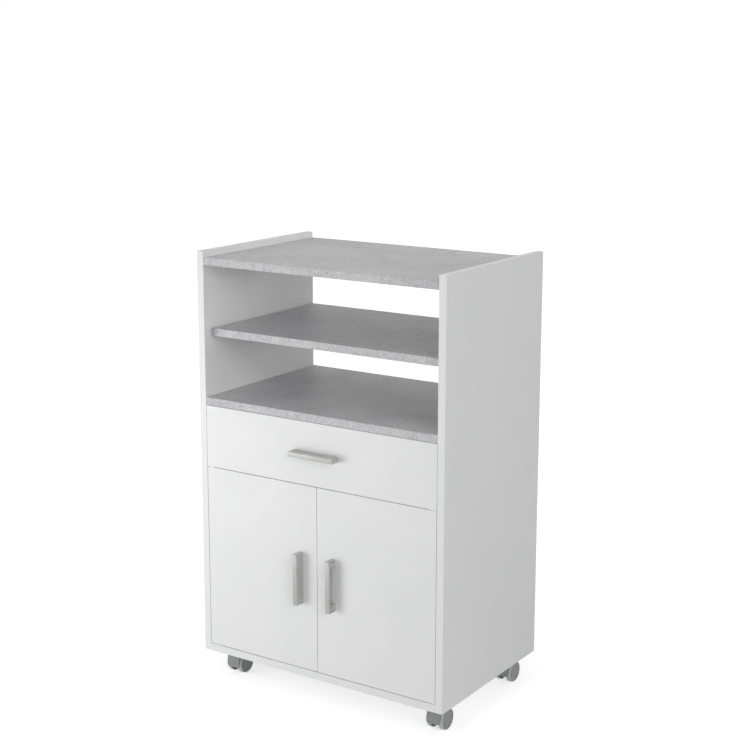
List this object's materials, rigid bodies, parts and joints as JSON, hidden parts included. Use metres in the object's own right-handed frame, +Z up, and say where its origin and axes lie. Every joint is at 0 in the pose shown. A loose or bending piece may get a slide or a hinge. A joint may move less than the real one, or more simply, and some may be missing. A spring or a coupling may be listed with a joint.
{
  "type": "microwave stand with drawer",
  "caption": "White kitchen stand on swivel casters, with grey shelves, two open bays, a drawer on roller runners and a cupboard with two doors.",
  "frame": {"origin": "on the floor, under the middle of the bounding box at rest, handles included", "axes": "+X to the right as seen from the front, +Y from the front to the back, +Z up"},
  "size_m": [0.59, 0.402, 0.92],
  "materials": {
    "white_melamine": "satin",
    "grey_laminate": "matte",
    "white_hardboard": "matte",
    "handle_metal": "satin",
    "white_runner_steel": "satin",
    "zinc_steel": "satin",
    "beech": "matte",
    "white_nylon": "matte",
    "caster_grey": "satin"
  },
  "bodies": {
    "cabinet": {"left_side_panel": "white_melamine", "right_side_panel": "white_melamine", "top_shelf": "grey_laminate", "middle_shelf": "grey_laminate", "lower_shelf": "grey_laminate", "bottom_panel": "white_melamine", "divider_rail": "white_melamine", "back_panel": "white_hardboard", "cam_locks": "zinc_steel", "cam_bolts": "zinc_steel", "dowels": "beech", "shelf_pins": "zinc_steel", "carcass_screws": "zinc_steel", "pivot_strips": "zinc_steel", "magnetic_catch": "white_nylon", "left_cabinet_runner": "white_runner_steel", "right_cabinet_runner": "white_runner_steel", "caster_plates": "zinc_steel", "caster_stems": "zinc_steel"},
    "drawer": {"drawer_front": "white_melamine", "drawer_left_side": "white_melamine", "drawer_right_side": "white_melamine", "drawer_back": "white_melamine", "drawer_bottom": "white_hardboard", "drawer_cam_fittings": "zinc_steel", "drawer_screws": "zinc_steel", "drawer_handle": "handle_metal", "drawer_handle_screws": "zinc_steel", "left_drawer_runner": "white_runner_steel", "right_drawer_runner": "white_runner_steel"},
    "left_door": {"left_door": "white_melamine", "left_door_handle": "handle_metal", "left_door_handle_screws": "zinc_steel", "left_door_bushes": "white_nylon", "left_strike_plate": "zinc_steel"},
    "right_door": {"right_door": "white_melamine", "right_door_handle": "handle_metal", "right_door_handle_screws": "zinc_steel", "right_door_bushes": "white_nylon", "right_strike_plate": "zinc_steel"},
    "left_cabinet_roller": {"left_cabinet_roller": "white_nylon"},
    "left_drawer_roller": {"left_drawer_roller": "white_nylon"},
    "right_cabinet_roller": {"right_cabinet_roller": "white_nylon"},
    "right_drawer_roller": {"right_drawer_roller": "white_nylon"},
    "front_left_caster": {"front_left_caster_housing": "caster_grey", "front_left_caster_axle": "zinc_steel"},
    "front_left_caster_left_wheel": {"front_left_caster_left_wheel": "caster_grey"},
    "front_left_caster_right_wheel": {"front_left_caster_right_wheel": "caster_grey"},
    "front_right_caster": {"front_right_caster_housing": "caster_grey", "front_right_caster_axle": "zinc_steel"},
    "front_right_caster_left_wheel": {"front_right_caster_left_wheel": "caster_grey"},
    "front_right_caster_right_wheel": {"front_right_caster_right_wheel": "caster_grey"},
    "back_left_caster": {"back_left_caster_housing": "caster_grey", "back_left_caster_axle": "zinc_steel"},
    "back_left_caster_left_wheel": {"back_left_caster_left_wheel": "caster_grey"},
    "back_left_caster_right_wheel": {"back_left_caster_right_wheel": "caster_grey"},
    "back_right_caster": {"back_right_caster_housing": "caster_grey", "back_right_caster_axle": "zinc_steel"},
    "back_right_caster_left_wheel": {"back_right_caster_left_wheel": "caster_grey"},
    "back_right_caster_right_wheel": {"back_right_caster_right_wheel": "caster_grey"}
  },
  "joints": [
    {"name": "drawer_slide", "type": "slide", "parent": "cabinet", "child": "drawer", "axis": [0, -1, 0], "range_m": [0, 0.25]},
    {"name": "left_door_hinge", "type": "hinge", "parent": "cabinet", "child": "left_door", "pos_m": [-0.264, -0.174, 0.27435], "axis": [0, 0, -1], "range_deg": [0, 105]},
    {"name": "right_door_hinge", "type": "hinge", "parent": "cabinet", "child": "right_door", "pos_m": [0.264, -0.174, 0.27435], "axis": [0, 0, 1], "range_deg": [0, 105]},
    {"name": "left_cabinet_roller_spin", "type": "hinge", "parent": "cabinet", "child": "left_cabinet_roller", "pos_m": [-0.2736, -0.147, 0.5], "axis": [1, 0, 0], "continuous": true},
    {"name": "left_drawer_roller_spin", "type": "hinge", "parent": "drawer", "child": "left_drawer_roller", "pos_m": [-0.2716, 0.156, 0.4997], "axis": [1, 0, 0], "continuous": true},
    {"name": "right_cabinet_roller_spin", "type": "hinge", "parent": "cabinet", "child": "right_cabinet_roller", "pos_m": [0.2736, -0.147, 0.5], "axis": [1, 0, 0], "continuous": true},
    {"name": "right_drawer_roller_spin", "type": "hinge", "parent": "drawer", "child": "right_drawer_roller", "pos_m": [0.2716, 0.156, 0.4997], "axis": [1, 0, 0], "continuous": true},
    {"name": "front_left_caster_swivel", "type": "hinge", "parent": "cabinet", "child": "front_left_caster", "pos_m": [-0.2515, -0.128, 0.059], "axis": [0, 0, 1], "continuous": true},
    {"name": "front_left_caster_left_wheel_spin", "type": "hinge", "parent": "front_left_caster", "child": "front_left_caster_left_wheel", "pos_m": [-0.2655, -0.115, 0.0225], "axis": [1, 0, 0], "continuous": true},
    {"name": "front_left_caster_right_wheel_spin", "type": "hinge", "parent": "front_left_caster", "child": "front_left_caster_right_wheel", "pos_m": [-0.2375, -0.115, 0.0225], "axis": [1, 0, 0], "continuous": true},
    {"name": "front_right_caster_swivel", "type": "hinge", "parent": "cabinet", "child": "front_right_caster", "pos_m": [0.2515, -0.128, 0.059], "axis": [0, 0, 1], "continuous": true},
    {"name": "front_right_caster_left_wheel_spin", "type": "hinge", "parent": "front_right_caster", "child": "front_right_caster_left_wheel", "pos_m": [0.2375, -0.115, 0.0225], "axis": [1, 0, 0], "continuous": true},
    {"name": "front_right_caster_right_wheel_spin", "type": "hinge", "parent": "front_right_caster", "child": "front_right_caster_right_wheel", "pos_m": [0.2655, -0.115, 0.0225], "axis": [1, 0, 0], "continuous": true},
    {"name": "back_left_caster_swivel", "type": "hinge", "parent": "cabinet", "child": "back_left_caster", "pos_m": [-0.2515, 0.15, 0.059], "axis": [0, 0, 1], "continuous": true},
    {"name": "back_left_caster_left_wheel_spin", "type": "hinge", "parent": "back_left_caster", "child": "back_left_caster_left_wheel", "pos_m": [-0.2655, 0.163, 0.0225], "axis": [1, 0, 0], "continuous": true},
    {"name": "back_left_caster_right_wheel_spin", "type": "hinge", "parent": "back_left_caster", "child": "back_left_caster_right_wheel", "pos_m": [-0.2375, 0.163, 0.0225], "axis": [1, 0, 0], "continuous": true},
    {"name": "back_right_caster_swivel", "type": "hinge", "parent": "cabinet", "child": "back_right_caster", "pos_m": [0.2515, 0.15, 0.059], "axis": [0, 0, 1], "continuous": true},
    {"name": "back_right_caster_left_wheel_spin", "type": "hinge", "parent": "back_right_caster", "child": "back_right_caster_left_wheel", "pos_m": [0.2375, 0.163, 0.0225], "axis": [1, 0, 0], "continuous": true},
    {"name": "back_right_caster_right_wheel_spin", "type": "hinge", "parent": "back_right_caster", "child": "back_right_caster_right_wheel", "pos_m": [0.2655, 0.163, 0.0225], "axis": [1, 0, 0], "continuous": true}
  ],
  "couplings": [
    {"joint": "left_cabinet_roller_spin", "follows": "drawer_slide", "rad_per_m": 111.11},
    {"joint": "left_drawer_roller_spin", "follows": "drawer_slide", "rad_per_m": 111.11},
    {"joint": "right_cabinet_roller_spin", "follows": "drawer_slide", "rad_per_m": 111.11},
    {"joint": "right_drawer_roller_spin", "follows": "drawer_slide", "rad_per_m": 111.11}
  ]
}
